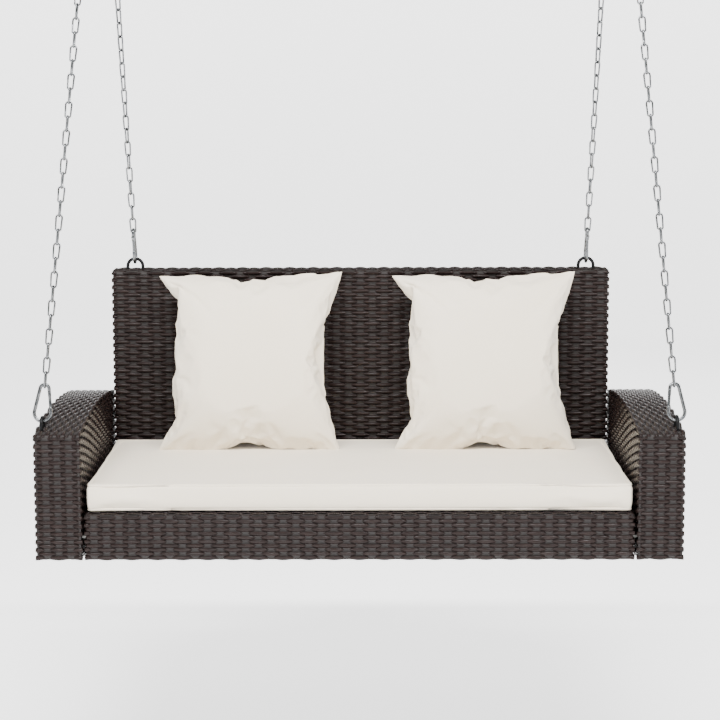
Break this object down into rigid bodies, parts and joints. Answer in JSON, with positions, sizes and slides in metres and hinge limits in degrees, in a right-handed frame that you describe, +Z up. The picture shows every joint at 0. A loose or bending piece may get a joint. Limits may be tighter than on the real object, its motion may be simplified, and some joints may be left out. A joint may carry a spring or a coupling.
{
  "type": "porch swing seat",
  "caption": "Hanging porch swing seat: woven box seat, back and arched arms, boxed seat cushion and scatter pillows, hung on chains with carabiners from ceiling hooks.",
  "frame": {"origin": "on the ceiling's surface, midway between the two ceiling plates, with the swing hanging below it", "axes": "+Z up, +X to the right of someone facing the swing, +Y from the seat's front to its back"},
  "size_m": [1.2906, 0.56, 1.7442],
  "materials": {
    "woven_strand": "satin",
    "frame_steel": "satin",
    "black_steel": "satin",
    "bright_zinc": "satin",
    "ceiling_zinc": "satin",
    "bolt_zinc": "satin",
    "cream_cloth": "matte"
  },
  "bodies": {
    "ceiling_fittings": {"ceiling_hook_left": "ceiling_zinc", "ceiling_hook_right": "ceiling_zinc", "ceiling_plate_left": "ceiling_zinc", "ceiling_plate_right": "ceiling_zinc", "lag_screw_back_left": "bolt_zinc", "lag_screw_back_right": "bolt_zinc", "lag_screw_front_left": "bolt_zinc", "lag_screw_front_right": "bolt_zinc"},
    "swing_seat": {"arm_bolt_left_1": "bolt_zinc", "arm_bolt_left_2": "bolt_zinc", "arm_bolt_left_3": "bolt_zinc", "arm_bolt_right_1": "bolt_zinc", "arm_bolt_right_2": "bolt_zinc", "arm_bolt_right_3": "bolt_zinc", "arm_frame_left": "frame_steel", "arm_frame_right": "frame_steel", "arm_weave_left": "woven_strand", "arm_weave_right": "woven_strand", "back_bolt_left_1": "bolt_zinc", "back_bolt_left_2": "bolt_zinc", "back_bolt_right_1": "bolt_zinc", "back_bolt_right_2": "bolt_zinc", "back_frame": "frame_steel", "back_rail_bolt_left": "bolt_zinc", "back_rail_bolt_right": "bolt_zinc", "back_weave": "woven_strand", "carabiner_back_left": "bright_zinc", "carabiner_back_right": "bright_zinc", "carabiner_front_left": "bright_zinc", "carabiner_front_right": "bright_zinc", "carabiner_rivet_back_left": "bright_zinc", "carabiner_rivet_back_right": "bright_zinc", "carabiner_rivet_front_left": "bright_zinc", "carabiner_rivet_front_right": "bright_zinc", "chain_back_left": "bright_zinc", "chain_back_right": "bright_zinc", "chain_front_left": "bright_zinc", "chain_front_right": "bright_zinc", "hanging_loop_back_left": "black_steel", "hanging_loop_back_right": "black_steel", "hanging_loop_front_left": "black_steel", "hanging_loop_front_right": "black_steel", "seat_frame": "frame_steel", "seat_weave": "woven_strand", "top_ring_left": "bright_zinc", "top_ring_right": "bright_zinc"},
    "gate_back_left": {"carabiner_gate_back_left": "bright_zinc"},
    "gate_back_right": {"carabiner_gate_back_right": "bright_zinc"},
    "gate_front_left": {"carabiner_gate_front_left": "bright_zinc"},
    "gate_front_right": {"carabiner_gate_front_right": "bright_zinc"},
    "cushion": {"seat_cushion": "cream_cloth"},
    "pillow_left": {"pillow_left": "cream_cloth"},
    "pillow_right": {"pillow_right": "cream_cloth"}
  },
  "joints": [
    {"name": "swing", "type": "hinge", "parent": "ceiling_fittings", "child": "swing_seat", "pos_m": [0, 0, -0.06071], "axis": [1, 0, 0], "range_deg": [-25, 25]},
    {"name": "gate_back_left", "type": "hinge", "parent": "swing_seat", "child": "gate_back_left", "pos_m": [-0.49532, 0.17189, -1.10902], "axis": [0.9996, 0, 0.0277], "range_deg": [0, 24], "stiffness_Nm_per_rad": 0.25, "springref_deg": -11.46},
    {"name": "gate_back_right", "type": "hinge", "parent": "swing_seat", "child": "gate_back_right", "pos_m": [0.49532, 0.17189, -1.10902], "axis": [0.9996, 0, -0.0277], "range_deg": [0, 24], "stiffness_Nm_per_rad": 0.25, "springref_deg": -11.46},
    {"name": "gate_front_left", "type": "hinge", "parent": "swing_seat", "child": "gate_front_left", "pos_m": [-0.61284, -0.29124, -1.37604], "axis": [0, 0.9759, -0.2182], "range_deg": [0, 24], "stiffness_Nm_per_rad": 0.25, "springref_deg": -11.46},
    {"name": "gate_front_right", "type": "hinge", "parent": "swing_seat", "child": "gate_front_right", "pos_m": [0.61284, -0.29124, -1.37604], "axis": [0, -0.9759, 0.2182], "range_deg": [0, 24], "stiffness_Nm_per_rad": 0.25, "springref_deg": -11.46},
    {"name": "cushion_lift_off", "type": "slide", "parent": "swing_seat", "child": "cushion", "axis": [0, 0, 1], "range_m": [0, 0.3]},
    {"name": "pillow_left_lift_off", "type": "slide", "parent": "cushion", "child": "pillow_left", "axis": [0, 0, 1], "range_m": [0, 0.3]},
    {"name": "pillow_right_lift_off", "type": "slide", "parent": "cushion", "child": "pillow_right", "axis": [0, 0, 1], "range_m": [0, 0.3]}
  ]
}
